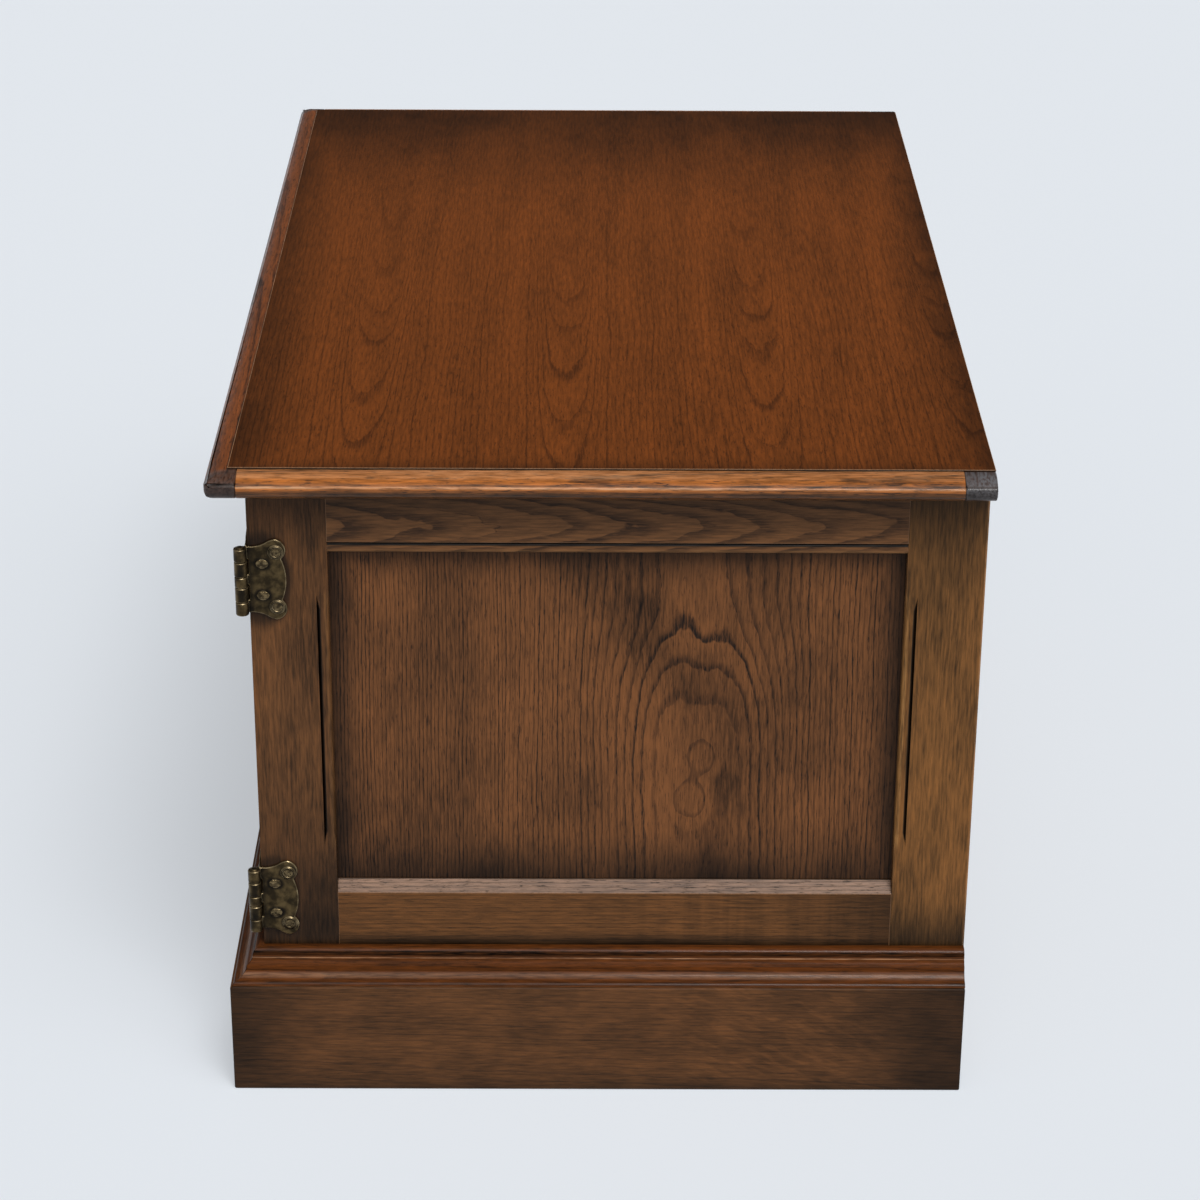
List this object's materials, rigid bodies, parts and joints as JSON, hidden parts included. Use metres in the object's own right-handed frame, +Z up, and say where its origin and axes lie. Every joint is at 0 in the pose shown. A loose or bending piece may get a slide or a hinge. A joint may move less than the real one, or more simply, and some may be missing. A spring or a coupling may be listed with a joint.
{
  "type": "low two-door cupboard",
  "caption": "Low stained-oak cupboard with framed ends, thumb-moulded top, moulded plinth, and doors on corner butterfly hinges that fold right back.",
  "frame": {"origin": "middle of the footprint of the whole piece, on the floor", "axes": "+X towards the right-hand end seen from the front, +Y towards the back, +Z up"},
  "size_m": [0.79, 0.493, 0.45],
  "materials": {
    "top_veneer": "semi-gloss dark red-brown stained oak veneer",
    "top_lipping": "semi-gloss dark stained solid oak",
    "frame_oak": "satin dark stained solid oak",
    "panel_oak": "satin dark stained oak veneer panel",
    "plinth_oak": "satin dark stained solid oak",
    "moulding_oak": "semi-gloss dark stained solid oak",
    "inner_oak": "matt stained board",
    "peg_beech": "plain turned beech",
    "antique_brass": "antiqued brass, dark in its hollows",
    "steel": "plain zinc-plated steel",
    "catch_plastic": "matt brown moulded plastic"
  },
  "bodies": {
    "carcass": {"back_panel": "inner_oak", "back_top_rail": "inner_oak", "base_moulding_front": "moulding_oak", "base_moulding_left": "moulding_oak", "base_moulding_right": "moulding_oak", "bottom_board": "inner_oak", "carcass_screws": "steel", "end_hinge_screws": "antique_brass", "front_top_rail": "inner_oak", "left_back_stile": "frame_oak", "left_bottom_rail": "frame_oak", "left_end_panel": "panel_oak", "left_front_stile": "frame_oak", "left_hinge_pins": "antique_brass", "left_lower_end_leaf": "antique_brass", "left_top_rail": "frame_oak", "left_upper_end_leaf": "antique_brass", "magnetic_catch": "catch_plastic", "plinth_back": "inner_oak", "plinth_blocks": "inner_oak", "plinth_front": "plinth_oak", "plinth_left": "plinth_oak", "plinth_right": "plinth_oak", "right_back_stile": "frame_oak", "right_bottom_rail": "frame_oak", "right_end_panel": "panel_oak", "right_front_stile": "frame_oak", "right_hinge_pins": "antique_brass", "right_lower_end_leaf": "antique_brass", "right_top_rail": "frame_oak", "right_upper_end_leaf": "antique_brass", "shelf": "inner_oak", "shelf_pegs": "peg_beech", "top_back_lipping": "top_lipping", "top_board": "top_veneer", "top_front_lipping": "top_lipping", "top_left_lipping": "top_lipping", "top_right_lipping": "top_lipping"},
    "right_door": {"right_door_bottom_rail": "frame_oak", "right_door_hinge_stile": "frame_oak", "right_door_meeting_stile": "frame_oak", "right_door_panel": "panel_oak", "right_door_screws": "antique_brass", "right_door_top_rail": "frame_oak", "right_lower_door_leaf": "antique_brass", "right_pull_plate": "antique_brass", "right_strike_plate": "steel", "right_upper_door_leaf": "antique_brass"},
    "left_door": {"left_door_bottom_rail": "frame_oak", "left_door_hinge_stile": "frame_oak", "left_door_meeting_stile": "frame_oak", "left_door_panel": "panel_oak", "left_door_screws": "antique_brass", "left_door_top_rail": "frame_oak", "left_lower_door_leaf": "antique_brass", "left_pull_plate": "antique_brass", "left_strike_plate": "steel", "left_upper_door_leaf": "antique_brass"},
    "right_pull": {"right_pull_drop": "antique_brass"},
    "left_pull": {"left_pull_drop": "antique_brass"}
  },
  "joints": [
    {"name": "right_door_hinge", "type": "hinge", "parent": "carcass", "child": "right_door", "pos_m": [0.375, -0.2273, 0.2535], "axis": [0, 0, 1], "range_deg": [0, 265]},
    {"name": "left_door_hinge", "type": "hinge", "parent": "carcass", "child": "left_door", "pos_m": [-0.375, -0.2273, 0.2535], "axis": [0, 0, -1], "range_deg": [0, 265]},
    {"name": "right_pull_swing", "type": "hinge", "parent": "right_door", "child": "right_pull", "pos_m": [0.026, -0.2317, 0.2535], "axis": [-1, 0, 0], "range_deg": [0, 110]},
    {"name": "left_pull_swing", "type": "hinge", "parent": "left_door", "child": "left_pull", "pos_m": [-0.026, -0.2317, 0.2535], "axis": [-1, 0, 0], "range_deg": [0, 110]}
  ]
}
